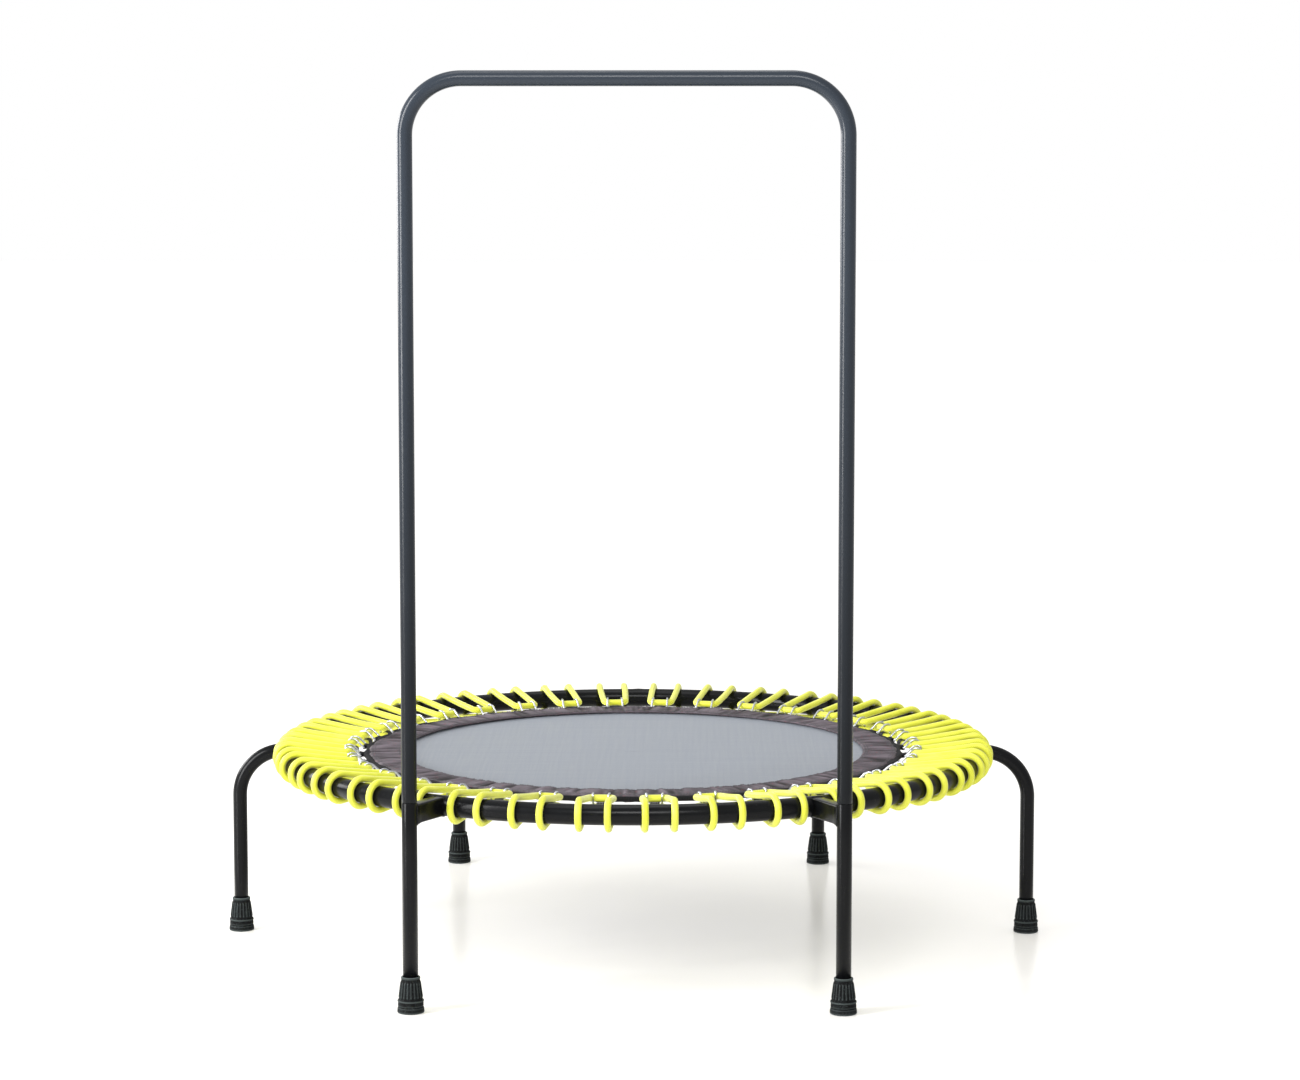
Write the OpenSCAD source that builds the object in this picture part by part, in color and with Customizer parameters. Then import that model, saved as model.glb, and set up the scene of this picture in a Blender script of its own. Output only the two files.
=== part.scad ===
// Mini trampoline: a steel ring on six rubber-tipped supports, a round mat hung
// in 36 doubled elastic cord loops, and a plug-in handlebar at the front.
// The origin is on the floor under the ring's centre. +Z is up, the handlebar
// stands on the -Y side, and left is -X, as seen by someone facing the handlebar.
// All sizes are in millimetres.

/* [Frame ring] */
// Outside diameter of the frame ring
ring_outer_d = 1100; // [1090:2:1120]
// Diameter of the ring tube
ring_tube_d = 30; // [28:1:32]
// Height of the ring tube's centre above the floor
ring_height = 286; // [260:1:320]
// Wall thickness of every steel tube
tube_wall = 1.8; // [1.5:0.1:2]

/* [Legs and posts] */
// Diameter of the leg, post and handlebar tube
leg_tube_d = 22; // [21:0.5:23]
// How far the feet stand outside the ring tube's centreline
foot_reach = 81; // [80:1:90]
// Centreline radius of the bend in a leg
leg_bend_r = 71; // [60:1:72]
// Height of the front posts above the ring tube's centre
post_rise = 17; // [16:1:30]
// Width of the bracket between the ring and a front post
bracket_w = 20; // [18:1:22]
// Height of the bracket between the ring and a front post
bracket_h = 28; // [26:1:28]

/* [Handlebar] */
// Height of the top bar's centre above the floor
handle_height = 1320; // [1100:10:1400]
// Centreline radius of the two corner bends
handle_bend_r = 79; // [60:1:120]
// Length of the reduced end that plugs into a post
spigot_length = 60; // [40:5:90]
// Radial clearance between a reduced end and its post
spigot_clearance = 0.05; // [0.02:0.01:0.1]

/* [Feet] */
// Height of a rubber foot
foot_height = 52; // [45:1:60]
// Diameter of the foot's base
foot_base_d = 39; // [37:1:42]
// Diameter of the foot's top collar
foot_collar_d = 27.5; // [26.5:0.5:28]
// Rubber under the steel disc in a foot
foot_sole = 8.2; // [7:0.1:10]

/* [Mat] */
// Outside diameter of the hem
hem_outer_d = 838; // [830:2:842]
// Width of the hem band
hem_width = 61; // [40:1:70]
// Thickness of the woven mat
mat_thickness = 1.4; // [1:0.1:1.6]
// Thickness of one hem band
hem_thickness = 1.4; // [1:0.1:1.6]

/* [Elastic cords] */
// Diameter of the elastic cord
cord_d = 10; // [9:0.5:10]
// Distance between the two strands of one loop
loop_width = 41; // [40:0.5:44]
// Number of loops between two neighbouring supports
loops_per_bay = 6; // [4:1:6]
// Diameter of the wire that a mat hook is bent from
wire_d = 4; // [3.5:0.1:4]

/* [Hidden] */
$fn = 64;

steel_black = [0.13, 0.14, 0.16];
rubber_black = [0.10, 0.12, 0.12];
zinc = [0.78, 0.79, 0.80];
cord_lime = [0.86, 0.92, 0.16];
mat_grey = [0.42, 0.44, 0.46];
hem_brown = [0.25, 0.22, 0.24];

// Azimuths of the supports, counted from the front towards the right
post_azimuth = 30;
side_azimuth = 90;
back_azimuth = 150;
support_azimuths = [for (a = [post_azimuth : 60 : 330]) a];
leg_azimuths = [side_azimuth, back_azimuth, -side_azimuth, -back_azimuth];
post_azimuths = [post_azimuth, -post_azimuth];

ring_tube_r = ring_tube_d / 2;
ring_r = ring_outer_d / 2 - ring_tube_r;
leg_tube_r = leg_tube_d / 2;
leg_bore_r = leg_tube_r - tube_wall;
foot_circle_r = ring_r + foot_reach;
post_top = ring_height + post_rise;
post_x = foot_circle_r * sin(post_azimuth);
post_y = -foot_circle_r * cos(post_azimuth);

// A small gap between pieces that meet on curved faces
seat_gap = 0.1;

// Bolts that hold the legs and brackets to the ring
bolt_r = 3.98;
bolt_hole_r = 4.3;
thread_r = 4;
bolt_head_r = 7;
bolt_head_h = 4.4;
bolt_socket_r = 2.9;
washer_r = 8;
washer_h = 2;
insert_r = 7.8;
insert_h = 8;
bracket_wall = 2;
bolt_seat_r = ring_r - ring_tube_r - washer_h;
insert_start_r = ring_r + ring_tube_r + seat_gap;

// Steel disc that keeps the tube from cutting through the rubber
disc_h = 1.6;
disc_r = leg_tube_r - 0.2;
tube_foot_z = foot_sole + disc_h + 0.1;

// The layers of the mat's rim, from the middle outwards
layer_gap = 0.05;
strap_thickness = 1.2;
mat_r = hem_outer_d / 2 - 2;
hem_outer_r = hem_outer_d / 2;
hem_inner_r = hem_outer_r - hem_width;
strap_z = mat_thickness / 2 + layer_gap;
hem_z = strap_z + strap_thickness + layer_gap;
strap_tail = 20;

// The cord loop, in a plane through the ring's axis
cord_r = cord_d / 2;
cord_side = loop_width / 2;
cord_corner_r = 8;
bight_r = hem_outer_r + 22;
bight_z = cord_r + 1.5;
wrap_r = ring_tube_r + cord_r + 0.5;
ring_chord = sqrt(ring_r * ring_r - cord_side * cord_side);
bight_to_ring = ring_chord - bight_r;
bight_slant = sqrt(bight_to_ring * bight_to_ring + bight_z * bight_z);
strand_angle = asin(wrap_r / bight_slant) - atan2(bight_z, bight_to_ring);
strand_length = sqrt(bight_slant * bight_slant - wrap_r * wrap_r);
// Where a strand runs into its wrap, it overlaps and the wrap is a hair thicker
strand_overlap = 0.3;
wrap_swell = 0.04;
crimp_r = cord_r + 1.4;
crimp_length = 14;

// The wire hook that ties a loop to the mat
wire_r = wire_d / 2;
hook_side = 11;
hook_base_r = hem_outer_r + 5;
hook_tip_r = bight_r + cord_r + wire_r + 0.2;
hook_top_z = bight_z + cord_r + wire_r + 0.3;
hook_tip_z = -bight_z - cord_r - 0.5;
loop_count = loops_per_bay * 6;
loop_pitch = 360 / loop_count;

// Turns local +X towards an azimuth
module toward(azimuth) {
    rotate([0, 0, azimuth - 90]) children();
}

// A rod along local +X
module rod_x(x0, x1, r) {
    translate([x0, 0, 0]) rotate([0, 90, 0]) cylinder(r = r, h = x1 - x0);
}

// A rod along local Y, centred
module rod_y(length, r) {
    rotate([90, 0, 0]) cylinder(r = r, h = length, center = true);
}

// An arc of round bar in the local XZ plane, angles from +X towards +Z
module arc_xz(bend_r, from, to, r) {
    rotate([90, 0, 0]) rotate([0, 0, from])
        rotate_extrude(angle = to - from) translate([bend_r, 0]) circle(r = r);
}

module ring_bar(r) {
    translate([0, 0, ring_height])
        rotate_extrude($fn = 180) translate([ring_r, 0]) circle(r = r);
}

module frame_ring() {
    color(steel_black) difference() {
        ring_bar(ring_tube_r);
        ring_bar(ring_tube_r - tube_wall);
        for (a = support_azimuths) toward(a) translate([0, 0, ring_height])
            rod_x(ring_r - ring_tube_d, ring_r + ring_tube_d, bolt_hole_r);
    }
}

// The outline of a leg: out of the ring, round the bend and down to the foot
module leg_bar(r, bottom_z) {
    bend_start = foot_circle_r - leg_bend_r;
    translate([0, 0, ring_height]) rod_x(ring_r + 8, bend_start, r);
    translate([bend_start, 0, ring_height - leg_bend_r]) arc_xz(leg_bend_r, 0, 90, r);
    translate([foot_circle_r, 0, bottom_z])
        cylinder(r = r, h = ring_height - leg_bend_r - bottom_z);
}

module leg(azimuth) {
    color(steel_black) toward(azimuth) difference() {
        leg_bar(leg_tube_r, tube_foot_z);
        leg_bar(leg_bore_r, tube_foot_z - 1);
        ring_bar(ring_tube_r + seat_gap);
    }
}

module front_post(azimuth) {
    color(steel_black) toward(azimuth) translate([foot_circle_r, 0, tube_foot_z]) difference() {
        cylinder(r = leg_tube_r, h = post_top - tube_foot_z);
        translate([0, 0, -1]) cylinder(r = leg_bore_r, h = post_top - tube_foot_z + 2);
    }
}

module post_bracket(azimuth) {
    bar_length = foot_circle_r - ring_r - 8;
    color(steel_black) toward(azimuth) difference() {
        translate([ring_r + 8, -bracket_w / 2, ring_height - bracket_h / 2])
            cube([bar_length, bracket_w, bracket_h]);
        translate([ring_r, bracket_wall - bracket_w / 2, ring_height - bracket_h / 2 + bracket_wall])
            cube([foot_circle_r, bracket_w - 2 * bracket_wall, bracket_h - 2 * bracket_wall]);
        ring_bar(ring_tube_r + seat_gap);
        translate([foot_circle_r, 0, ring_height - bracket_h])
            cylinder(r = leg_tube_r + 0.05, h = 2 * bracket_h);
    }
}

module leg_inserts() {
    color(zinc) for (a = leg_azimuths) toward(a) translate([0, 0, ring_height]) difference() {
        rod_x(insert_start_r, insert_start_r + insert_h, insert_r);
        rod_x(ring_r, foot_circle_r, thread_r);
    }
}

module bracket_inserts() {
    block_w = bracket_w - 2 * bracket_wall - 0.2;
    block_h = bracket_h - 2 * bracket_wall - 0.2;
    color(zinc) for (a = post_azimuths) toward(a) translate([0, 0, ring_height]) difference() {
        translate([insert_start_r, -block_w / 2, -block_h / 2]) cube([insert_h, block_w, block_h]);
        rod_x(ring_r, foot_circle_r, thread_r);
    }
}

// One bolt at each support, its head inside the ring
module frame_bolts() {
    color(zinc) for (a = support_azimuths) toward(a) translate([0, 0, ring_height]) difference() {
        union() {
            rod_x(bolt_seat_r - bolt_head_h, bolt_seat_r, bolt_head_r);
            rod_x(bolt_seat_r, insert_start_r + insert_h, bolt_r);
        }
        translate([bolt_seat_r - bolt_head_h - 1, 0, 0]) rotate([0, 90, 0])
            cylinder(r = bolt_socket_r, h = 3.4, $fn = 6);
    }
}

module saddle_washers() {
    color(zinc) for (a = support_azimuths) toward(a) translate([0, 0, ring_height]) difference() {
        rod_x(bolt_seat_r, bolt_seat_r + 6, washer_r);
        rod_x(bolt_seat_r - 1, ring_r, bolt_hole_r);
        translate([ring_r, 0, 0]) rod_y(4 * washer_r, ring_tube_r + 2 * seat_gap);
    }
}

module foot(azimuth) {
    base_r = foot_base_d / 2;
    collar_r = foot_collar_d / 2;
    shoulder_z = 18;
    color(rubber_black) toward(azimuth) translate([foot_circle_r, 0, 0]) difference() {
        rotate_extrude() polygon([
            [0, 0], [base_r - 2, 0], [base_r, 1.5], [base_r - 0.7, 8],
            [base_r - 1.7, 8.8], [base_r - 0.9, 9.6], [base_r - 1.3, shoulder_z - 2.6],
            [base_r - 0.8, shoulder_z - 2], [base_r - 0.8, shoulder_z],
            [base_r - 2.2, shoulder_z + 1.4], [collar_r - 0.3, foot_height - 3.4],
            [collar_r, foot_height - 3], [collar_r, foot_height - 0.6],
            [collar_r - 0.6, foot_height], [0, foot_height]
        ]);
        translate([0, 0, foot_sole]) cylinder(r = leg_tube_r + 0.05, h = foot_height);
    }
}

module foot_discs() {
    color(zinc) for (a = support_azimuths) toward(a)
        translate([foot_circle_r, 0, foot_sole + 0.05]) cylinder(r = disc_r, h = disc_h);
}

// The outline of the handlebar above the posts
module handle_bar(r, bottom_z) {
    bend_x = post_x - handle_bend_r;
    bend_z = handle_height - handle_bend_r;
    for (side = [-1, 1]) translate([side * post_x, 0, bottom_z]) cylinder(r = r, h = bend_z - bottom_z);
    translate([bend_x, 0, bend_z]) arc_xz(handle_bend_r, 0, 90, r);
    translate([-bend_x, 0, bend_z]) arc_xz(handle_bend_r, 90, 180, r);
    translate([0, 0, handle_height]) rod_x(-bend_x, bend_x, r);
}

module handlebar() {
    shoulder_z = post_top + 0.2;
    spigot_r = leg_bore_r - spigot_clearance;
    color(steel_black) translate([0, post_y, 0]) difference() {
        union() {
            handle_bar(leg_tube_r, shoulder_z);
            for (side = [-1, 1]) translate([side * post_x, 0, post_top - spigot_length])
                cylinder(r = spigot_r, h = shoulder_z - post_top + spigot_length);
        }
        handle_bar(leg_bore_r, shoulder_z + 6);
        for (side = [-1, 1]) translate([side * post_x, 0, post_top - spigot_length - 1])
            cylinder(r = spigot_r - tube_wall, h = spigot_length + 8);
    }
}

module jumping_mat() {
    color(mat_grey) translate([0, 0, ring_height - mat_thickness / 2])
        cylinder(r = mat_r, h = mat_thickness, $fn = 180);
}

module hem_band(z) {
    color(hem_brown) translate([0, 0, ring_height + z]) difference() {
        cylinder(r = hem_outer_r, h = hem_thickness, $fn = 180);
        translate([0, 0, -1]) cylinder(r = hem_inner_r, h = hem_thickness + 2, $fn = 180);
    }
}

module mat_hem_top() {
    hem_band(hem_z);
}

module mat_hem_bottom() {
    hem_band(-hem_z - hem_thickness);
}

// One strap of webbing folded round the base of a hook, its tails between the hem bands
module webbing_loop() {
    strap_w = 2 * (hook_side - wire_r) - 1;
    eye_r = wire_r + layer_gap;
    difference() {
        union() {
            translate([hook_base_r, 0, 0]) rod_y(strap_w, eye_r + strap_thickness);
            for (z = [strap_z, -strap_z - strap_thickness])
                translate([hook_base_r - strap_tail, -strap_w / 2, z])
                    cube([strap_tail, strap_w, strap_thickness]);
        }
        translate([hook_base_r, 0, 0]) rod_y(2 * strap_w, eye_r);
    }
}

module webbing_loops() {
    color("black") for (i = [0 : loop_count - 1])
        toward((i + 0.5) * loop_pitch) translate([0, 0, ring_height]) webbing_loop();
}

// One hook: two bent cheeks that reach over the cord, joined by a bar at each end
module mat_hook() {
    knee_r = hook_base_r + 9;
    for (side = [-hook_side, hook_side])
        translate([0, side + wire_r, 0]) rotate([90, 0, 0]) linear_extrude(wire_d) polygon([
            [hook_base_r - wire_r, 0], [knee_r - wire_r, hook_top_z + wire_r],
            [hook_tip_r + wire_r - 3, hook_top_z + wire_r], [hook_tip_r + wire_r, hook_top_z],
            [hook_tip_r + wire_r, hook_tip_z - wire_r], [hook_tip_r - wire_r, hook_tip_z - wire_r],
            [hook_tip_r - wire_r, hook_top_z - wire_r], [knee_r + 1, hook_top_z - wire_r],
            [hook_base_r + wire_r, -wire_r], [hook_base_r - wire_r, -wire_r]
        ]);
    translate([hook_base_r, 0, 0]) rod_y(2 * hook_side, wire_r);
    translate([hook_tip_r, 0, hook_tip_z]) rod_y(2 * hook_side, wire_r);
}

module mat_hooks() {
    color(zinc) for (i = [0 : loop_count - 1])
        toward((i + 0.5) * loop_pitch) translate([0, 0, ring_height]) mat_hook();
}

// The bight of a cord loop that the hook holds above the mat, and its two strands
module loop_half() {
    run_side = cord_side - cord_corner_r;
    translate([bight_r, 0, bight_z]) rotate([0, -strand_angle, 0]) {
        rod_y(2 * run_side, cord_r);
        for (side = [0, 1]) rotate([180 * side, 0, 0]) {
            translate([cord_corner_r, run_side, 0]) rotate([0, 0, 90])
                rotate_extrude(angle = 90) translate([cord_corner_r, 0]) circle(r = cord_r);
            translate([0, cord_side, 0]) rod_x(cord_corner_r, strand_length + strand_overlap, cord_r);
        }
    }
}

// One closed loop of elastic cord, doubled round the ring tube
module bungee_loop() {
    for (side = [0, 1]) rotate([180 * side, 0, 0]) loop_half();
    for (side = [-cord_side, cord_side]) translate([ring_chord, side, 0])
        arc_xz(wrap_r, -90 - strand_angle, 90 + strand_angle, cord_r + wrap_swell);
}

module bungees(bay) {
    color(cord_lime) for (i = [0 : loops_per_bay - 1])
        toward(bay * 60 + (i + 0.5) * loop_pitch - 30)
            translate([0, 0, ring_height]) bungee_loop();
}

// The sleeves that close the cord ends, on the lower bight of each loop
module bungee_crimps() {
    color(rubber_black) for (i = [0 : loop_count - 1])
        toward((i + 0.5) * loop_pitch) translate([bight_r, 0, ring_height - bight_z]) difference() {
            rod_y(crimp_length, crimp_r);
            rod_y(crimp_length + 2, cord_r + layer_gap);
        }
}

frame_ring();
front_post(-post_azimuth);  // front_post_left
front_post(post_azimuth);  // front_post_right
post_bracket(-post_azimuth);  // post_bracket_left
post_bracket(post_azimuth);  // post_bracket_right
leg(-side_azimuth);  // leg_side_left
leg(side_azimuth);  // leg_side_right
leg(-back_azimuth);  // leg_back_left
leg(back_azimuth);  // leg_back_right
leg_inserts();
bracket_inserts();
frame_bolts();
saddle_washers();
foot(-post_azimuth);  // foot_front_left
foot(post_azimuth);  // foot_front_right
foot(-side_azimuth);  // foot_side_left
foot(side_azimuth);  // foot_side_right
foot(-back_azimuth);  // foot_back_left
foot(back_azimuth);  // foot_back_right
foot_discs();
handlebar();
jumping_mat();
mat_hem_top();
mat_hem_bottom();
webbing_loops();
mat_hooks();
bungees(0);  // bungees_front
bungees(1);  // bungees_front_right
bungees(2);  // bungees_back_right
bungees(3);  // bungees_back
bungees(4);  // bungees_back_left
bungees(5);  // bungees_front_left
bungee_crimps();
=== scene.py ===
import math
import random

import bpy
from mathutils import Matrix, Vector, noise


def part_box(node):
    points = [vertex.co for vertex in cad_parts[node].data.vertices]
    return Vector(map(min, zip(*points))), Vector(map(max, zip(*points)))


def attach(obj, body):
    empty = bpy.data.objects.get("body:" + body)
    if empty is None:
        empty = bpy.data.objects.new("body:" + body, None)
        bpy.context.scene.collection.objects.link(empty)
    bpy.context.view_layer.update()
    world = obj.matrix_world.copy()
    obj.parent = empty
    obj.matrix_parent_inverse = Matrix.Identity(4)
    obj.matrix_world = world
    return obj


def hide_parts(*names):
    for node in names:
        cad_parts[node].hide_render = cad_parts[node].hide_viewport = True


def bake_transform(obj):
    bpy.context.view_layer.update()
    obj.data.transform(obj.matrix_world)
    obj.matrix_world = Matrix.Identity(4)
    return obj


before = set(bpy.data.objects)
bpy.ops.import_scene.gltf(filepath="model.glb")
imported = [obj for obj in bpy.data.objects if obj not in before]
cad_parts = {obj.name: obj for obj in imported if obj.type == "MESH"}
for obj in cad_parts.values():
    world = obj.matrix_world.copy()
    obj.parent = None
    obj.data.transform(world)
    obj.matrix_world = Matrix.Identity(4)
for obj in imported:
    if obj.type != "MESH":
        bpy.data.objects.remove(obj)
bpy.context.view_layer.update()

scene = bpy.context.scene


def mm(value):
    return value / 1000


def perMetre(millimetres):
    # texture scale that repeats once in this many millimetres
    return 1000 / millimetres


def hexColour(code):
    # an sRGB hex code as the linear colour that a shader takes
    channels = [int(code[i:i + 2], 16) / 255 for i in (1, 3, 5)]
    linear = [c / 12.92 if c <= 0.04045 else ((c + 0.055) / 1.055) ** 2.4 for c in channels]
    return (*linear, 1.0)


def linkTo(tree, source, socket):
    # a node stands for its first live output
    if isinstance(source, bpy.types.Node):
        source = next(out for out in source.outputs if out.enabled)
    tree.links.new(source, socket)


def addNode(tree, kind, inputs=None, **settings):
    # a shader node unless the kind says more; inputs are filled or linked by name or number
    node = tree.nodes.new(kind if "Node" in kind else "ShaderNode" + kind)
    for key, value in settings.items():
        setattr(node, key, value)
    for key, value in (inputs or {}).items():
        if isinstance(value, (bpy.types.Node, bpy.types.NodeSocket)):
            linkTo(tree, value, node.inputs[key])
        else:
            node.inputs[key].default_value = value
    return node


def newMaterial(name, values):
    # a material with these constants, and the place on the object that its patterns are drawn by
    material = bpy.data.materials.new(name)
    material.use_nodes = True
    tree = material.node_tree
    shader = tree.nodes["Principled BSDF"]
    for key, value in values.items():
        shader.inputs[key].default_value = value
    return material, tree, shader, addNode(tree, "TexCoord").outputs["Object"]


def blotches(tree, place, size, detail, stretch=(1, 1, 1)):
    # soft noise in patches about this many millimetres across, mostly between 0.3 and 0.7
    mapped = addNode(tree, "Mapping", {"Vector": place, "Scale": stretch})
    return addNode(tree, "TexNoise", {"Vector": mapped, "Scale": perMetre(size), "Detail": detail})


def dressShader(tree, shader, colour, relief, depth, strength):
    # a finished colour, and a relief this many millimetres deep
    linkTo(tree, colour, shader.inputs["Base Color"])
    bump = addNode(tree, "Bump", {"Height": relief, "Distance": mm(depth), "Strength": strength})
    linkTo(tree, bump, shader.inputs["Normal"])


def linkObject(name, mesh):
    piece = bpy.data.objects.new(name, mesh)
    scene.collection.objects.link(piece)
    return piece


def makeMesh(name, points, faces, material=None, edges=()):
    mesh = bpy.data.meshes.new(name)
    mesh.from_pydata([tuple(p) for p in points], list(edges), faces)
    mesh.validate()
    for polygon in mesh.polygons:
        polygon.use_smooth = True
    if material:
        mesh.materials.append(material)
    return linkObject(name, mesh)


def finishPiece(piece, body, slot, *nodes):
    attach(piece, body)
    if nodes:
        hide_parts(*nodes)


def toward(azimuth):
    # azimuth in degrees from the front, counted towards the right
    return Matrix.Rotation(math.radians(azimuth - 90), 4, "Z")


def roundZ(radius, angle, z):
    return Vector((radius * math.cos(angle), radius * math.sin(angle), z))


def arcPoints(centre, radius, start, stop, steps):
    # an arc in the XZ plane, its angles in degrees
    points = []
    for i in range(steps + 1):
        a = math.radians(start + (stop - start) * i / steps)
        points.append(Vector(centre) + Vector((radius * math.cos(a), 0, radius * math.sin(a))))
    return points


def roundCorners(points, radius, steps):
    # a closed path with each corner turned into a curve that starts this far from it
    out = []
    for i, corner in enumerate(points):
        before, after = points[i - 1], points[(i + 1) % len(points)]
        reach = min(radius, (corner - before).length * 0.45, (after - corner).length * 0.45)
        a = corner + (before - corner).normalized() * reach
        b = corner + (after - corner).normalized() * reach
        for k in range(steps + 1):
            t = k / steps
            out.append(a * (1 - t) ** 2 + corner * 2 * t * (1 - t) + b * t * t)
    return out


def gridFaces(rows, columns, ring=False, flip=False, first=0):
    # quads between rows of points that each close on themselves; ring joins the last row to the first
    faces = []
    for i in range(rows if ring else rows - 1):
        up = ((i + 1) % rows - i) * columns
        for k in range(columns):
            a, b = first + i * columns + k, first + i * columns + (k + 1) % columns
            faces.append((a, a + up, b + up, b) if flip else (a, b, b + up, a + up))
    return faces


def endCaps(rows, columns):
    last = (rows - 1) * columns
    return [tuple(range(columns - 1, -1, -1)), tuple(range(last, last + columns))]


def sweepLoop(points, outline, sizes=None):
    # carries a flat outline along a path in a frame that doesn't twist, and caps both ends
    verts = []
    normal = None
    for i, p in enumerate(points):
        ahead = points[min(i + 1, len(points) - 1)] - points[max(i - 1, 0)]
        ahead.normalize()
        if normal is None:
            side = Vector((0, 1, 0)) if abs(ahead.y) < 0.9 else Vector((1, 0, 0))
            normal = ahead.cross(side).normalized()
        normal = (normal - ahead * normal.dot(ahead)).normalized()
        other = ahead.cross(normal)
        size = sizes[i] if sizes else 1
        verts += [p + (normal * u + other * v) * size for u, v in outline]
    return verts, gridFaces(len(points), len(outline)) + endCaps(len(points), len(outline))


def circleOutline(radius, sides):
    angles = [2 * math.pi * k / sides for k in range(sides)]
    return [(radius * math.cos(a), radius * math.sin(a)) for a in angles]


def lathe(profile, sides, closed=False):
    # turns (radius, height) points round Z, from the bottom up; an open profile gets its ends shut
    verts = [roundZ(r, 2 * math.pi * k / sides, z) for r, z in profile for k in range(sides)]
    faces = gridFaces(len(profile), sides, ring=closed)
    return verts, faces if closed else faces + endCaps(len(profile), sides)


def newTree(name, **sockets):
    tree = bpy.data.node_groups.new(name, "GeometryNodeTree")
    tree.interface.new_socket("Geometry", in_out="INPUT", socket_type="NodeSocketGeometry")
    for label, kind in sockets.items():
        tree.interface.new_socket(label, in_out="INPUT", socket_type="NodeSocket" + kind)
    tree.interface.new_socket("Geometry", in_out="OUTPUT", socket_type="NodeSocketGeometry")
    return tree, addNode(tree, "NodeGroupInput").outputs


def endTree(tree, geometry, finish):
    # every tree ends the same way: real geometry in one finish
    real = addNode(tree, "GeometryNodeRealizeInstances", {"Geometry": geometry})
    painted = addNode(tree, "GeometryNodeSetMaterial", {"Geometry": real, "Material": finish})
    addNode(tree, "NodeGroupOutput", {"Geometry": painted})
    return tree


def copiesRoundAxis():
    # copies its input round the Z axis, each turned a little at random
    tree, given = newTree("copiesRoundAxis", count="Int", firstAngle="Float", jitter="Float", seed="Int",
                          finish="Material")
    points = addNode(tree, "GeometryNodePoints", {"Count": given["count"]})
    index = addNode(tree, "GeometryNodeInputIndex")
    pitch = addNode(tree, "Math", {0: 2 * math.pi, 1: given["count"]}, operation="DIVIDE")
    turn = addNode(tree, "Math", {0: index, 1: pitch}, operation="MULTIPLY")
    turn = addNode(tree, "Math", {0: turn, 1: given["firstAngle"]}, operation="ADD")
    least = addNode(tree, "Math", {0: given["jitter"], 1: -1.0}, operation="MULTIPLY")
    wobble = addNode(tree, "FunctionNodeRandomValue",
                     {2: least, 3: given["jitter"], 7: index, 8: given["seed"]}, data_type="FLOAT")
    angle = addNode(tree, "Math", {0: turn, 1: wobble}, operation="ADD")
    euler = addNode(tree, "CombineXYZ", {"Z": angle})
    rotation = addNode(tree, "FunctionNodeEulerToRotation", {0: euler})
    placed = addNode(tree, "GeometryNodeInstanceOnPoints",
                     {"Points": points, "Instance": given["Geometry"], "Rotation": rotation})
    return endTree(tree, placed, given["finish"])


def roundBarOnPath():
    # a round bar along its input's edges, with the way round and the length along kept as "sleeve"
    tree, given = newTree("roundBarOnPath", radius="Float", sides="Int", finish="Material")
    path = addNode(tree, "GeometryNodeMeshToCurve", {"Mesh": given["Geometry"]})
    keptPath = addNode(tree, "GeometryNodeCaptureAttribute", {"Geometry": path})
    keptPath.capture_items.new("FLOAT", "along")
    along = addNode(tree, "GeometryNodeSplineParameter").outputs["Length"]
    linkTo(tree, along, keptPath.inputs["along"])
    ring = addNode(tree, "GeometryNodeCurvePrimitiveCircle",
                   {"Resolution": given["sides"], "Radius": given["radius"]})
    keptRing = addNode(tree, "GeometryNodeCaptureAttribute", {"Geometry": ring})
    keptRing.capture_items.new("VECTOR", "around")
    linkTo(tree, addNode(tree, "GeometryNodeInputPosition"), keptRing.inputs["around"])
    bar = addNode(tree, "GeometryNodeCurveToMesh", {"Curve": keptPath, "Profile Curve": keptRing})
    parts = addNode(tree, "SeparateXYZ", {0: keptRing.outputs["around"]}).outputs
    sleeve = addNode(tree, "CombineXYZ", {"X": parts["X"], "Y": parts["Y"], "Z": keptPath.outputs["along"]})
    stored = addNode(tree, "GeometryNodeStoreNamedAttribute",
                     {"Geometry": bar, "Name": "sleeve", "Value": sleeve},
                     data_type="FLOAT_VECTOR", domain="POINT")
    smooth = addNode(tree, "GeometryNodeSetShadeSmooth", {"Geometry": stored})
    return endTree(tree, smooth, given["finish"])


def beadsOnPath():
    # overlapping drops of weld along its input's edges, each a little larger or smaller
    tree, given = newTree("beadsOnPath", spacing="Float", size="Float", seed="Int", finish="Material")
    path = addNode(tree, "GeometryNodeMeshToCurve", {"Mesh": given["Geometry"]})
    even = addNode(tree, "GeometryNodeResampleCurve", {"Curve": path, "Length": given["spacing"]},
                   mode="LENGTH")
    drop = addNode(tree, "GeometryNodeMeshIcoSphere", {"Radius": given["size"], "Subdivisions": 2})
    scale = addNode(tree, "FunctionNodeRandomValue", {2: 0.82, 3: 1.12, 8: given["seed"]}, data_type="FLOAT")
    placed = addNode(tree, "GeometryNodeInstanceOnPoints", {"Points": even, "Instance": drop, "Scale": scale})
    smooth = addNode(tree, "GeometryNodeSetShadeSmooth", {"Geometry": placed})
    return endTree(tree, smooth, given["finish"])


def runTree(name, source, tree, **values):
    # builds the tree's result as a plain mesh of its own, and drops the source
    modifier = source.modifiers.new("build", "NODES")
    modifier.node_group = tree
    for item in tree.interface.items_tree:
        if item.in_out == "INPUT" and item.name in values:
            modifier[item.identifier] = values[item.name]
    graph = bpy.context.evaluated_depsgraph_get()
    mesh = bpy.data.meshes.new_from_object(source.evaluated_get(graph), preserve_all_data_layers=True,
                                           depsgraph=graph)
    bpy.data.objects.remove(source)
    mesh.name = name
    return linkObject(name, mesh)


def pathObject(points):
    # a closed path as loose edges
    return makeMesh("path", points, [], edges=[(i, (i + 1) % len(points)) for i in range(len(points))])


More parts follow.
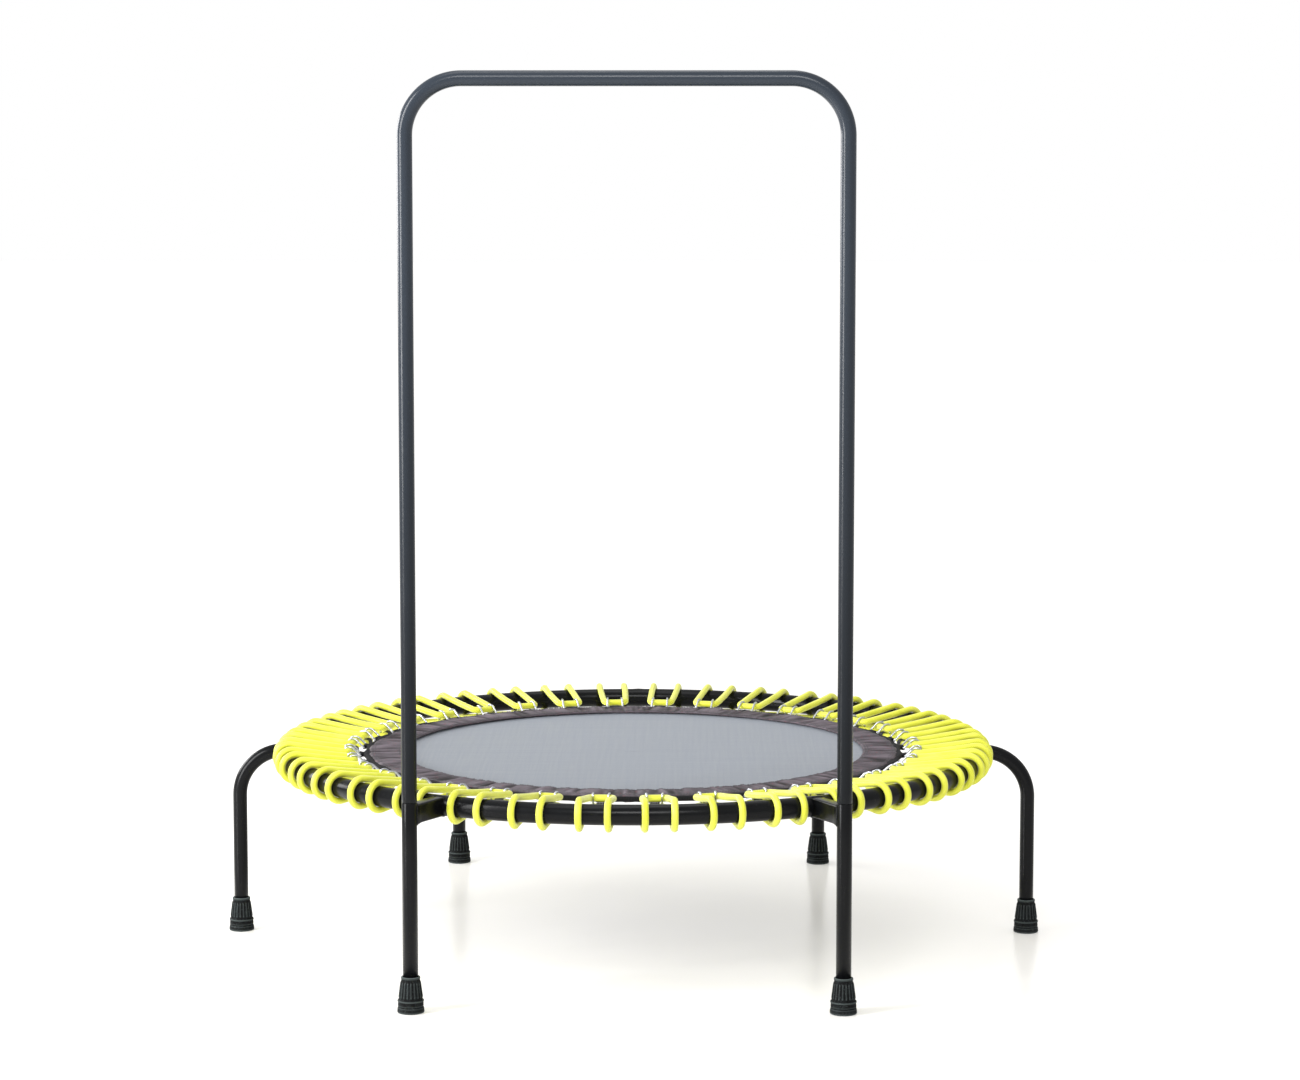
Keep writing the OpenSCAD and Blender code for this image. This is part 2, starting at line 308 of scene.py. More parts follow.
# sizes that several pieces share, from the frame
ringLow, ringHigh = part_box("frame_ring")
ringHeight = (ringLow.z + ringHigh.z) / 2
ringTube = ringHigh.z - ringHeight
ringRadius = ringHigh.x - ringTube
footLow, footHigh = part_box("foot_side_right")
footCircle = (footLow.x + footHigh.x) / 2
legLow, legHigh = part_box("leg_side_right")
legTube = (legHigh.y - legLow.y) / 2
tubeWall = mm(1.8)
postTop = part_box("front_post_right")[1].z
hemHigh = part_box("mat_hem_top")[1]
supports = {"front_left": -30, "front_right": 30, "side_left": -90, "side_right": 90,
            "back_left": -150, "back_right": 150}
loopCount = 36
loopPitch = 360 / loopCount
halfPitch = math.radians(loopPitch / 2)

cameraSettings = {"place": (0.094, -5.542, 1.241), "yaw": 0.70, "pitch": 6.42, "lens": 99.5, "sensor": 36,
                  "reach": 60}


def makeCamera(s):
    data = bpy.data.cameras.new("camera")
    data.lens, data.sensor_width, data.clip_end = s["lens"], s["sensor"], s["reach"]
    camera = bpy.data.objects.new("camera", data)
    yaw, pitch = math.radians(-s["yaw"]), math.radians(-s["pitch"])
    look = Vector((math.sin(yaw) * math.cos(pitch), math.cos(yaw) * math.cos(pitch), math.sin(pitch)))
    camera.location = s["place"]
    camera.rotation_euler = look.to_track_quat("-Z", "Y").to_euler()
    scene.collection.objects.link(camera)
    scene.camera = camera


stageSettings = {"floorColour": "#e6e4e1", "glowColour": "#fffdfa", "glow": (0.2, 0.36),
                 "glowReach": (0.7, 3.0), "half": 30.0, "worldColour": "#ffffff", "roomLight": 0.8,
                 "backdrop": 1.0}


def makeStage(s):
    # a wide lacquered floor in a room of even white light
    values = {"Base Color": hexColour(s["floorColour"]), "Emission Color": hexColour(s["glowColour"])}
    material, tree, shader, place = newMaterial("paleFloorLacquer", values)
    # the floor brightens away from the part until it meets the white of the room
    away = addNode(tree, "VectorMath", {0: place}, operation="LENGTH")
    (near, far), (dim, bright) = s["glowReach"], s["glow"]
    glow = addNode(tree, "MapRange", {0: away, 1: near, 2: far, 3: dim, 4: bright})
    linkTo(tree, glow, shader.inputs["Emission Strength"])
    satin = addNode(tree, "MapRange", {0: blotches(tree, place, 400, 3), 1: 0.3, 2: 0.7, 3: 0.16, 4: 0.26})
    linkTo(tree, satin, shader.inputs["Roughness"])
    h = s["half"]
    floor = makeMesh("floor", [(-h, -h, 0), (h, -h, 0), (h, h, 0), (-h, h, 0)], [(0, 1, 2, 3)], material)
    world = bpy.data.worlds.new("world")
    world.use_nodes = True
    tree = world.node_tree
    background = tree.nodes["Background"]
    background.inputs["Color"].default_value = hexColour(s["worldColour"])
    # the walls seen behind the part are a little whiter than the light they throw on it
    seen = addNode(tree, "LightPath").outputs["Is Camera Ray"]
    strength = addNode(tree, "MapRange", {0: seen, 3: s["roomLight"], 4: s["backdrop"]})
    linkTo(tree, strength, background.inputs["Strength"])
    scene.world = world


lightSettings = {
    "overhead": {"place": (-0.2, 0.5, 4.3), "aim": (0, 0.4, 0), "size": (4.0, 1.1), "power": 34},
    "tallLeft": {"place": (-3.3, -2.1, 1.9), "aim": (0, -0.2, 1.1), "size": (1.2, 3.2), "power": 230},
    "backLeft": {"place": (-3.2, 1.7, 1.5), "aim": (0, 0, 0.3), "size": (2.6, 1.2), "power": 90},
    "frontHigh": {"place": (0.2, -4.8, 3.7), "aim": (0, 0, 0.3), "size": (2.6, 1.4), "power": 130},
}


def makeLight(name, s):
    data = bpy.data.lights.new(name, "AREA")
    data.shape = "RECTANGLE"
    data.size, data.size_y = s["size"]
    data.energy = s["power"]
    light = bpy.data.objects.new(name, data)
    light.location = s["place"]
    light.rotation_euler = (Vector(s["aim"]) - light.location).to_track_quat("-Z", "Y").to_euler()
    scene.collection.objects.link(light)


makeCamera(cameraSettings)
makeStage(stageSettings)
for name, settings in lightSettings.items():
    makeLight(name, settings)
scene.view_settings.view_transform = "Standard"
print("camera, floor and lights ready")


def powderCoat(name, low, high, gloss, paintedTopLight=None):
    # baked polyester powder on steel tube: satin, a faint orange peel, a little dust
    material, tree, shader, place = newMaterial(name, {"IOR": 1.5, "Specular IOR Level": gloss})
    patches = blotches(tree, place, 90, 3)
    body = addNode(tree, "Mix", {0: patches, 6: hexColour(low), 7: hexColour(high)}, data_type="RGBA")
    if paintedTopLight:
        # painted light: the colour is lightened towards the top, where more light falls; the gloss rises
        # towards the top as well
        rise = addNode(tree, "SeparateXYZ", {0: place}).outputs["Z"]
        topLightRise = addNode(tree, "MapRange", {0: rise, 1: 0.25, 2: 1.08})
        body = addNode(tree, "Mix", {0: topLightRise, 6: body, 7: hexColour(paintedTopLight)}, data_type="RGBA")
        polished = addNode(tree, "MapRange", {0: rise, 1: 0.25, 2: 1.08, 3: gloss, 4: gloss * 1.8})
        linkTo(tree, polished, shader.inputs["Specular IOR Level"])
    specks = addNode(tree, "MapRange", {0: blotches(tree, place, 5, 4), 1: 0.66, 2: 0.74, 4: 0.02})
    dusty = addNode(tree, "Mix", {0: specks, 6: body, 7: hexColour("#8d9096")}, data_type="RGBA")
    satin = addNode(tree, "MapRange", {0: patches, 1: 0.3, 2: 0.7, 3: 0.18, 4: 0.28})
    linkTo(tree, satin, shader.inputs["Roughness"])
    # peel is near 1 mm on the real coat and is drawn at 2.5 mm so that it shows
    dressShader(tree, shader, dusty, blotches(tree, place, 2.5, 1), 0.08, 0.6)
    return material


def zincPlate(name, colour, roughness):
    # bright zinc on cold-drawn steel: a sharp but slightly cloudy mirror
    material, tree, shader, place = newMaterial(name, {"Metallic": 1.0})
    cloud = blotches(tree, place, 6, 3)
    plate = addNode(tree, "Mix", {0: cloud, 6: hexColour(colour), 7: hexColour("#9aa0a6")}, data_type="RGBA")
    dull = addNode(tree, "MapRange", {0: cloud, 1: 0.3, 2: 0.7, 3: roughness, 4: roughness + 0.14})
    linkTo(tree, dull, shader.inputs["Roughness"])
    dressShader(tree, shader, plate, blotches(tree, place, 1.2, 2), 0.03, 0.5)
    return material


def blackZinc():
    # black passivated bolts: dark, half metallic, with lighter worn spots
    material, tree, shader, place = newMaterial("blackZincBolt", {"Metallic": 0.7, "Roughness": 0.35})
    worn = addNode(tree, "MapRange", {0: blotches(tree, place, 3, 4), 1: 0.55, 2: 0.75})
    plate = addNode(tree, "Mix", {0: worn, 6: hexColour("#26282b"), 7: hexColour("#6a6d70")},
                    data_type="RGBA")
    dressShader(tree, shader, plate, blotches(tree, place, 0.8, 2), 0.03, 0.5)
    return material


def ferruleRubber():
    # moulded rubber: matt and dark, greyed by floor dust in upright scuffs
    values = {"Roughness": 0.72, "Specular IOR Level": 0.12}
    material, tree, shader, place = newMaterial("mouldedFerruleRubber", values)
    scuffs = blotches(tree, place, 9, 5, (1, 1, 0.35))
    scuff = addNode(tree, "MapRange", {0: scuffs, 1: 0.48, 2: 0.72, 4: 0.7})
    speck = addNode(tree, "MapRange", {0: blotches(tree, place, 1.6, 3), 1: 0.58, 2: 0.7, 4: 0.18})
    worn = addNode(tree, "Mix", {0: scuff, 6: hexColour("#040506"), 7: hexColour("#1a2022")},
                   data_type="RGBA")
    dusty = addNode(tree, "Mix", {0: speck, 6: worn, 7: hexColour("#7b8383")}, data_type="RGBA")
    # painted highlight: lips and rib crests are drawn paler along their edges, where they catch the light
    sharp = addNode(tree, "NewGeometry").outputs["Pointiness"]
    edgeHighlight = addNode(tree, "MapRange", {0: sharp, 1: 0.515, 2: 0.57, 4: 0.6})
    edgeLitRubber = addNode(tree, "Mix", {0: edgeHighlight, 6: dusty, 7: hexColour("#6a7473")}, data_type="RGBA")
    dressShader(tree, shader, edgeLitRubber, blotches(tree, place, 1.0, 3), 0.12, 0.7)
    return material


def plainWeave(tree, place, pitch):
    # over-and-under height of a plain weave with threads this many millimetres apart
    parts = addNode(tree, "SeparateXYZ", {0: place}).outputs
    waves = []
    for axis in ("X", "Y"):
        phase = addNode(tree, "Math", {0: parts[axis], 1: math.pi * perMetre(pitch)}, operation="MULTIPLY")
        waves.append(addNode(tree, "Math", {0: phase}, operation="SINE"))
    return addNode(tree, "Math", {0: waves[0], 1: waves[1]}, operation="MULTIPLY")


def matWeave():
    # tight polypropylene mat weave: black yarn with a waxy grey-blue sheen
    values = {"Sheen Weight": 0.5, "Sheen Roughness": 0.3, "Sheen Tint": hexColour("#dbe2ee")}
    material, tree, shader, place = newMaterial("wovenPolypropyleneMat", values)
    # the yarns are about 1.2 mm apart and are drawn at 3 mm so that they show
    weave = plainWeave(tree, place, 3.0)
    warp = blotches(tree, place, 30, 3, (8, 0.15, 1))
    weft = blotches(tree, place, 30, 3, (0.15, 8, 1))
    both = addNode(tree, "Math", {0: warp, 1: weft}, operation="ADD")
    streaks = addNode(tree, "Math", {0: both, 1: 0.5}, operation="MULTIPLY")
    pale = addNode(tree, "MapRange", {0: streaks, 1: 0.38, 2: 0.62})
    # the yarn colours are drawn grey-blue and lighter than the black yarn: partly painted reflection of the
    # pale room at low angles
    cloth = addNode(tree, "Mix", {0: pale, 6: hexColour("#373b41"), 7: hexColour("#484e56")},
                    data_type="RGBA")
    dips = addNode(tree, "MapRange", {0: weave, 1: 1.0, 2: -1.0, 4: 0.35})
    shaded = addNode(tree, "Mix", {0: dips, 6: cloth, 7: hexColour("#1c1e21")}, data_type="RGBA")
    waxy = addNode(tree, "MapRange", {0: streaks, 1: 0.38, 2: 0.62, 3: 0.36, 4: 0.46})
    linkTo(tree, waxy, shader.inputs["Roughness"])
    dressShader(tree, shader, shaded, weave, 0.2, 0.35)
    return material


def hemCloth():
    # coated nylon hem: brown-black, with stray reddish yarns; its creases are darkened with painted shade
    values = {"Roughness": 0.62, "Specular IOR Level": 0.2}
    material, tree, shader, place = newMaterial("coatedNylonHem", values)
    blotch = blotches(tree, place, 16, 4)
    base = addNode(tree, "Mix", {0: blotch, 6: hexColour("#433c41"), 7: hexColour("#766d75")},
                   data_type="RGBA")
    # painted shade: the lower the fold, the darker the cloth is drawn
    fold = addNode(tree, "Attribute", attribute_name="fold").outputs["Fac"]
    creaseShade = addNode(tree, "MapRange", {0: fold, 1: -0.6, 2: 0.5})
    cloth = addNode(tree, "Mix", {0: creaseShade, 6: hexColour("#0f0b0c"), 7: base}, data_type="RGBA")
    yarns = addNode(tree, "MapRange", {0: blotches(tree, place, 4, 2, (1, 0.3, 1)), 1: 0.6, 2: 0.7, 4: 0.35})
    flecked = addNode(tree, "Mix", {0: yarns, 6: cloth, 7: hexColour("#6d343d")}, data_type="RGBA")
    # the threads are about 0.5 mm apart and are drawn at 2.4 mm so that they show
    weave = plainWeave(tree, place, 2.4)
    relief = addNode(tree, "Math", {0: weave, 1: 0.4, 2: blotch}, operation="MULTIPLY_ADD")
    dressShader(tree, shader, flecked, relief, 0.4, 0.5)
    return material


def webbingCloth():
    # woven polypropylene strap: black and matt, with threads 1.8 mm apart that catch the light
    values = {"Roughness": 0.75, "Specular IOR Level": 0.15}
    material, tree, shader, place = newMaterial("wovenWebbingBlack", values)
    weave = plainWeave(tree, place, 1.8)
    crests = addNode(tree, "MapRange", {0: weave, 1: -1.0, 2: 1.0})
    cloth = addNode(tree, "Mix", {0: crests, 6: hexColour("#060607"), 7: hexColour("#1b1b1e")},
                    data_type="RGBA")
    dressShader(tree, shader, cloth, weave, 0.3, 0.7)
    return material


def stitchThread():
    # bonded polyester thread, dark with a waxy shine
    material, tree, shader, place = newMaterial("bondedStitchThread", {"Roughness": 0.45})
    twist = blotches(tree, place, 1.0, 2)
    thread = addNode(tree, "Mix", {0: twist, 6: hexColour("#1b1a1d"), 7: hexColour("#4a474d")},
                     data_type="RGBA")
    dressShader(tree, shader, thread, twist, 0.1, 0.6)
    return material


def braidedSleeve():
    # polyester braid over rubber strands: lime yellow, silky, plaits that cross both ways
    values = {"Roughness": 0.38, "Sheen Weight": 0.3, "Sheen Roughness": 0.4, "Subsurface Weight": 0.08,
              "Subsurface Radius": (0.004, 0.004, 0.001)}
    material, tree, shader, place = newMaterial("braidedLimeSleeve", values)
    sleeve = addNode(tree, "Attribute", attribute_name="sleeve").outputs["Vector"]
    parts = addNode(tree, "SeparateXYZ", {0: sleeve}).outputs
    # eight plaits each way; about 1.5 mm apart along the cord, and drawn at 3.2 mm so that they show
    around = addNode(tree, "Math", {0: parts["Y"], 1: parts["X"]}, operation="ARCTAN2")
    turns = addNode(tree, "Math", {0: around, 1: 8.0}, operation="MULTIPLY")
    forward = addNode(tree, "Math", {0: parts["Z"], 1: 2 * math.pi * perMetre(3.2)}, operation="MULTIPLY")
    waves = []
    for way in ("ADD", "SUBTRACT"):
        phase = addNode(tree, "Math", {0: forward, 1: turns}, operation=way)
        waves.append(addNode(tree, "Math", {0: phase}, operation="SINE"))
    plait = addNode(tree, "Math", {0: waves[0], 1: waves[1]}, operation="MAXIMUM")
    fade = addNode(tree, "MapRange", {0: blotches(tree, place, 35, 3), 1: 0.3, 2: 0.7})
    lime = addNode(tree, "Mix", {0: fade, 6: hexColour("#d2d62c"), 7: hexColour("#e5e74e")},
                   data_type="RGBA")
    gaps = addNode(tree, "MapRange", {0: plait, 1: -0.6, 2: 0.7, 3: 0.6, 4: 0.0})
    shaded = addNode(tree, "Mix", {0: gaps, 6: lime, 7: hexColour("#9a9b10")}, data_type="RGBA")
    dressShader(tree, shader, shaded, plait, 0.22, 0.55)
    return material


def crimpPlastic():
    # moulded black nylon sleeve, faintly mottled
    material, tree, shader, place = newMaterial("mouldedNylonSleeve", {"Roughness": 0.5})
    mark = blotches(tree, place, 2.0, 3)
    nylon = addNode(tree, "Mix", {0: mark, 6: hexColour("#121315"), 7: hexColour("#303236")},
                    data_type="RGBA")
    dressShader(tree, shader, nylon, mark, 0.06, 0.6)
    return material


framePaint = powderCoat("satinBlackPowderFrame", "#08090a", "#0d0e10", 0.13)
# the handle's last colour is painted light, laid over its upper part
handlePaint = powderCoat("satinSlatePowderHandle", "#08090b", "#0d0f11", 0.13, "#282e36")
zincPart = zincPlate("brightZincPart", "#c9cdd0", 0.28)
zincWire = zincPlate("brightZincWire", "#e2e4e6", 0.16)
boltFinish = blackZinc()
rubber = ferruleRubber()
matFinish = matWeave()
hemFinish = hemCloth()
strapFinish = webbingCloth()
threadFinish = stitchThread()
limeSleeve = braidedSleeve()
sleevePlastic = crimpPlastic()
print("materials ready")

ringSettings = {"steps": 300, "sides": 40, "bead": mm(0.7), "beadReach": mm(3.2), "beadRipples": 9}


def makeRing(s):
    # the rolled ring, with the low bead where its two ends are butt-welded at the back
    verts = []
    for i in range(s["steps"]):
        a = 2 * math.pi * i / s["steps"]
        offset = (a - math.pi / 2 + math.pi) % (2 * math.pi) - math.pi
        bead = s["bead"] * math.exp(-(offset * ringRadius / s["beadReach"]) ** 2)
        for k in range(s["sides"]):
            b = 2 * math.pi * k / s["sides"]
            r = ringTube + bead * (0.8 + 0.2 * math.sin(s["beadRipples"] * b))
            verts.append(roundZ(ringRadius + r * math.cos(b), a, ringHeight + r * math.sin(b)))
    faces = gridFaces(s["steps"], s["sides"], ring=True, flip=True)
    ring = makeMesh("ringTube", verts, faces, framePaint)
    finishPiece(ring, "root", "frame_paint", "frame_ring")


legSettings = {"sides": 40, "root": mm(8), "lead": mm(1), "bend": mm(71), "bendSteps": 28,
               "rings": (0.15, 0.1)}


def makeLeg(name, azimuth, s):
    # out from the ring, round one bend, and straight down into its foot
    bendStart = footCircle - s["bend"]
    points = [Vector((ringRadius + s["root"], 0, ringHeight)), Vector((bendStart - s["lead"], 0, ringHeight))]
    points += arcPoints((bendStart, 0, ringHeight - s["bend"]), s["bend"], 90, 0, s["bendSteps"])
    points += [Vector((footCircle, 0, z)) for z in (*s["rings"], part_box("leg_" + name)[0].z)]
    verts, faces = sweepLoop(points, circleOutline(legTube, s["sides"]))
    leg = makeMesh("legTube_" + name, [toward(azimuth) @ v for v in verts], faces, framePaint)
    finishPiece(leg, "root", "frame_paint", "leg_" + name)


postSettings = {"sides": 40, "rim": mm(0.6)}


def makePost(name, azimuth, s):
    # an open tube with a softly turned rim at the top
    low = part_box("front_post_" + name)[0].z
    bore, rim = legTube - tubeWall, s["rim"]
    profile = [(bore, low), (legTube, low), (legTube, postTop - rim),
               (legTube - rim * 0.3, postTop - rim * 0.3), (legTube - rim, postTop),
               (bore + rim * 0.5, postTop), (bore, postTop - rim)]
    verts, faces = lathe(profile, s["sides"], closed=True)
    move = toward(azimuth) @ Matrix.Translation((footCircle, 0, 0))
    post = makeMesh("postTube_" + name, [move @ v for v in verts], faces, framePaint)
    finishPiece(post, "root", "frame_paint", "front_post_" + name)


handleSettings = {"sides": 40, "bend": mm(79), "bendSteps": 28, "rings": (0.32, 0.6, 0.9),
                  "spigotGap": mm(0.05), "spigotEase": mm(1.0), "spigotLead": mm(1.2), "seatGap": mm(0.2),
                  "shoulderStep": mm(0.01), "shoulderEase": mm(0.7), "shoulder": mm(0.8)}


def makeHandle(s):
    # one bent tube whose ends are drawn down to slip into the posts
    low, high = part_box("handlebar")
    x, y = (high.x - low.x) / 2 - legTube, (low.y + high.y) / 2
    top, bend = high.z - legTube, s["bend"]
    spigot = legTube - tubeWall - s["spigotGap"]
    seat = postTop + s["seatGap"]
    # heights and tube radii up the right side, first through the drawn end and its shoulder
    steps = [(low.z, spigot - s["spigotEase"]), (low.z + s["spigotLead"], spigot), (seat, spigot),
             (seat + s["shoulderStep"], legTube - s["shoulderEase"]), (seat + s["shoulder"], legTube)]
    steps += [(z, legTube) for z in s["rings"]]
    points = [Vector((x, y, z)) for z, r in steps]
    points += arcPoints((x - bend, y, top - bend), bend, 0, 90, s["bendSteps"])
    points.append(Vector((0, y, top)))
    sizes = [r for z, r in steps] + [legTube] * (len(points) - len(steps))
    points += [Vector((-p.x, p.y, p.z)) for p in reversed(points[:-1])]
    sizes += list(reversed(sizes[:-1]))
    verts, faces = sweepLoop(points, circleOutline(1, s["sides"]), sizes)
    handle = makeMesh("handleTube", verts, faces, handlePaint)
    finishPiece(handle, "handle", "handle_paint", "handlebar")


bracketSettings = {"width": mm(20), "height": mm(28), "corner": mm(2.5), "rows": 26, "ringEnd": mm(6),
                   "postEnd": mm(4), "grow": mm(0.6), "flare": mm(1.4), "flareReach": mm(3),
                   "beadSize": mm(1.5), "beadSpacing": mm(1.4), "beadOut": mm(0.4), "beadProud": mm(0.2),
                   "beadSeed": 7, "leastAtPost": mm(3), "leastAtRing": mm(4)}


def bracketOutline(s, grow, drop):
    # a rounded rectangle, wider by grow all round and lower by drop
    w, h, c = s["width"] / 2 + grow, s["height"] / 2, s["corner"]
    corners = [(w - c, h - c, 0), (-w + c, h - c, 90), (-w + c, -h - drop + c, 180),
               (w - c, -h - drop + c, 270)]
    outline = []
    for y, z, start in corners:
        for k in range(5):
            a = math.radians(start + 22.5 * k)
            outline.append((y + c * math.cos(a), z + c * math.sin(a)))
    return outline


def makeBracket(name, azimuth, s):
    # a short box section, drawn down a little where it is welded to the post
    turn = toward(azimuth)
    start, stop = ringRadius + s["ringEnd"], footCircle - s["postEnd"]
    verts = []
    for i in range(s["rows"]):
        x = start + (stop - start) * i / (s["rows"] - 1)
        near = math.exp(-max(footCircle - legTube - x, 0) / s["flareReach"])
        outline = bracketOutline(s, s["grow"] * near, s["flare"] * near)
        verts += [turn @ Vector((x, y, ringHeight + z)) for y, z in outline]
    faces = gridFaces(s["rows"], len(outline)) + endCaps(s["rows"], len(outline))
    bracket = makeMesh("bracketBox_" + name, verts, faces, framePaint)
    finishPiece(bracket, "root", "frame_paint", "post_bracket_" + name)
    # a bead of weld where the box meets the post, and one where it meets the ring
    for where, drop in (("post", s["flare"] * 0.9), ("ring", 0)):
        path = []
        for y, z in bracketOutline(s, s["beadOut"], drop):
            if where == "post":
                x = footCircle - math.sqrt(max(legTube ** 2 - y * y, s["leastAtPost"] ** 2)) - s["beadProud"]
            else:
                x = ringRadius + math.sqrt(max(ringTube ** 2 - z * z, s["leastAtRing"] ** 2)) + s["beadProud"]
            path.append(turn @ Vector((x, y, ringHeight + z)))
        bead = runTree("weldBead_" + where + "_" + name, pathObject(path), beadTree, spacing=s["beadSpacing"],
                       size=s["beadSize"], seed=s["beadSeed"], finish=framePaint)
        finishPiece(bead, "root", "frame_paint")


copyTree = copiesRoundAxis()
barTree = roundBarOnPath()
beadTree = beadsOnPath()
makeRing(ringSettings)
for name in ("side_left", "side_right", "back_left", "back_right"):
    makeLeg(name, supports[name], legSettings)
for name in ("left", "right"):
    makePost(name, supports["front_" + name], postSettings)
    makeBracket(name, supports["front_" + name], bracketSettings)
makeHandle(handleSettings)
print("steel frame ready")

footSettings = {"sides": 160, "ribs": 20, "ribHeight": mm(0.95), "ribLow": mm(20.5), "ribHigh": mm(46.5),
                "ribInside": mm(12)}


def footProfile():
    # (radius, height) in millimetres up the outside of the ferrule, then down into its socket
    base = [(16.2, 0.0), (17.6, 0.0), (18.9, 0.5), (19.4, 1.4), (19.3, 3.5), (19.0, 6.0), (18.7, 7.8),
            (18.1, 8.4), (17.6, 8.9), (18.1, 9.5), (18.5, 10.2), (18.3, 13.0), (18.1, 15.4), (18.6, 16.0),
            (18.9, 16.9), (18.8, 18.0), (18.2, 18.8), (17.2, 19.4)]
    cone = [(17.0 - 3.7 * t, 19.9 + 28.0 * t) for t in [k / 22 for k in range(23)]]
    collar = [(13.4, 48.5), (13.75, 49.0), (13.8, 50.6), (13.6, 51.5), (13.0, 52.0), (11.5, 52.0),
              (11.05, 51.2), (11.05, 40.0)]
    return [(mm(r), mm(z)) for r, z in base + cone + collar]


def makeFoot(name, azimuth, s):
    verts, faces = lathe(footProfile(), s["sides"])
    for v in verts:
        rise = (v.z - s["ribLow"]) / (s["ribHigh"] - s["ribLow"])
        if 0 < rise < 1 and v.xy.length > s["ribInside"]:
            ends = min(1, 9 * rise, 9 * (1 - rise))
            wave = math.cos(s["ribs"] * math.atan2(v.y, v.x))
            lift = s["ribHeight"] * ends * max(0, min(1, 0.5 + 1.6 * wave))
            v.xy *= 1 + lift / v.xy.length
    move = toward(azimuth) @ Matrix.Translation((footCircle, 0, 0))
    foot = makeMesh("ferrule_" + name, [move @ v for v in verts], faces, rubber)
    finishPiece(foot, "root", "foot_rubber", "foot_" + name)


for name, azimuth in supports.items():
    makeFoot(name, azimuth, footSettings)
print("feet ready")

matSettings = {"rings": 44, "around": 216, "ripple": mm(0.35)}


def makeMat(s):
    # a taut disc: nearly flat, with faint puckers where the hem pulls at it
    low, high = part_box("jumping_mat")
    radius, ripple, n = high.x, s["ripple"], s["around"]
    verts = [Vector((0, 0, high.z))]
    for i in range(1, s["rings"] + 1):
        r = radius * i / s["rings"]
        for k in range(n):
            a = 2 * math.pi * k / n
            pucker = noise.noise(roundZ(9, a, r * 4)) * (r / radius) ** 6
            slack = noise.noise(roundZ(r * 5, a, 3.7))
            verts.append(roundZ(r, a, high.z + ripple * (pucker + 0.5 * slack - 1.2)))
    faces = [(0, 1 + k, 1 + (k + 1) % n) for k in range(n)]
    faces += gridFaces(s["rings"], n, flip=True, first=1)
    mat = makeMesh("matCloth", verts, faces, matFinish)
    wall = mat.modifiers.new("thickness", "SOLIDIFY")
    wall.thickness = high.z - low.z - ripple
    wall.offset = -1
    finishPiece(mat, "mat", "mat_weave", "jumping_mat")


hemSettings = {"around": 1080, "across": 14, "fold": mm(2.8), "thickness": mm(1.2), "edgeRoll": mm(1.6),
               "rollStart": 0.86, "wander": mm(0.8), "width": mm(61), "binding": mm(7)}
hemOuter = hemHigh.x - hemSettings["binding"]
hemInner = hemHigh.x - hemSettings["width"]


def hemFold(a, t):
    # radial folds that start at the straps outside and die out before the inner edge
    broad = noise.noise(roundZ(17, a, 0.6 * t))
    fine = noise.noise(roundZ(60, a, 1.1 * t + 9))
    drawn = math.cos(loopCount * a) * t * 0.3
    band = math.sin(math.pi * min(1, max(0, 0.08 + 0.84 * t))) ** 0.7
    return band * (0.8 * broad + 0.9 * fine + drawn)


def hemRoll(t, s):
    # how far the cloth turns down towards either edge
    return s["edgeRoll"] * max(0, abs(2 * t - 1) - s["rollStart"]) / (1 - s["rollStart"])


def makeHem(name, node, side, s):
    low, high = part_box(node)
    level = high.z if side > 0 else low.z
    verts, folds = [], []
    for i in range(s["across"] + 1):
        t = i / s["across"]
        loose = 1 if i in (0, s["across"]) else 0.5
        for k in range(s["around"]):
            a = 2 * math.pi * k / s["around"]
            wander = s["wander"] * noise.noise(roundZ(12, a, 5 + side))
            folds.append(hemFold(a, t))
            lift = s["fold"] * (folds[-1] + 0.5)
            r = hemInner + (hemOuter - hemInner) * t + wander * loose
            verts.append(roundZ(r, a, level + side * (lift - hemRoll(t, s))))
    faces = gridFaces(s["across"] + 1, s["around"], flip=side > 0)
    hem = makeMesh(name, verts, faces, hemFinish)
    hem.data.attributes.new("fold", "FLOAT", "POINT").data.foreach_set("value", folds)
    wall = hem.modifiers.new("thickness", "SOLIDIFY")
    wall.thickness = s["thickness"]
    wall.offset = -1
    finishPiece(hem, "mat", "hem_fabric", node)


bindingSettings = {"around": 720, "steps": 10, "proud": mm(0.4), "pull": mm(1.6), "inward": mm(11)}


def makeBinding(s):
    # black tape folded over the raw edge of mat and hem, pulled outwards a little at every strap
    thick = hemHigh.z - ringHeight + s["proud"]
    verts = []
    for i in range(s["around"]):
        a = 2 * math.pi * i / s["around"]
        edge = hemHigh.x - thick + s["pull"] * math.cos(loopCount * (a - halfPitch))
        for k in range(s["steps"] + 1):
            b = math.pi * (0.5 - k / s["steps"])
            verts.append(roundZ(edge + thick * math.cos(b), a, ringHeight + thick * math.sin(b)))
        verts += [roundZ(hemHigh.x - s["inward"], a, ringHeight + z) for z in (-thick, thick)]
    tape = makeMesh("edgeBinding", verts, gridFaces(s["around"], s["steps"] + 3, ring=True), strapFinish)
    finishPiece(tape, "mat", "webbing")


stitchSettings = {"rows": [(mm(361.5), 0), (mm(365.5), 0.5), (mm(403), 0), (mm(407), 0.5)], "count": 560,
                  "length": mm(2.9), "radius": mm(0.45), "sides": 6, "arch": mm(0.55), "sunk": mm(0.25),
                  "jitter": 0.0006, "seed": 3}


